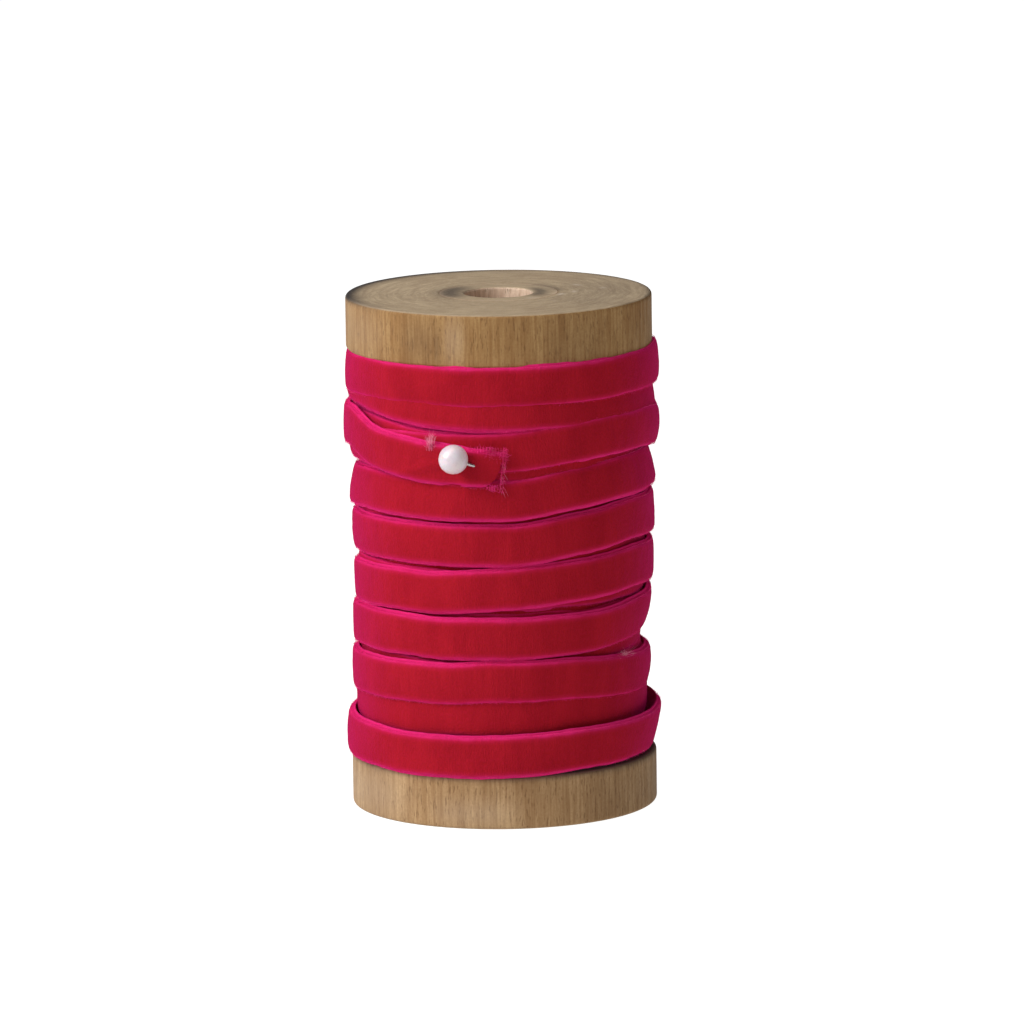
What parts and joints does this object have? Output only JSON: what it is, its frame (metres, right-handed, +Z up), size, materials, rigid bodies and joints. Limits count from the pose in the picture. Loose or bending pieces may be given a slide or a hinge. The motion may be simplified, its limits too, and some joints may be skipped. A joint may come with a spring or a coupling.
{
  "type": "ribbon spool",
  "caption": "Wooden ribbon spool with two thick round flanges on a bored core, wound with narrow velvet ribbon whose loose end is held by a pearl-headed pin.",
  "frame": {"origin": "on the spool's axis, at the foot of the lower flange", "axes": "+Z up along the spool's axis; -Y is the front, where the ribbon's loose end is pinned; +X is to the right seen from the front"},
  "size_m": [0.0514, 0.0554, 0.0843],
  "materials": {
    "flange_wood": "bare sawn and turned wood, grey-brown end grain",
    "core_wood": "bare turned wood",
    "velvet_ribbon": "crimson cut velvet with a bright pink sheen at its edges",
    "pin_steel": "drawn steel wire",
    "pearl": "glossy imitation pearl"
  },
  "bodies": {
    "spool": {"spool_core": "core_wood", "bottom_flange": "flange_wood", "top_flange": "flange_wood", "ribbon_inner_winding": "velvet_ribbon", "ribbon_middle_winding": "velvet_ribbon", "ribbon_outer_winding": "velvet_ribbon", "ribbon_tail": "velvet_ribbon"},
    "pin": {"pin_shaft": "pin_steel", "pearl_head": "pearl"}
  },
  "joints": [
    {"name": "pin_slide", "type": "slide", "parent": "spool", "child": "pin", "axis": [-0.8731, -0.3474, 0.342], "range_m": [0, 0.024]}
  ]
}
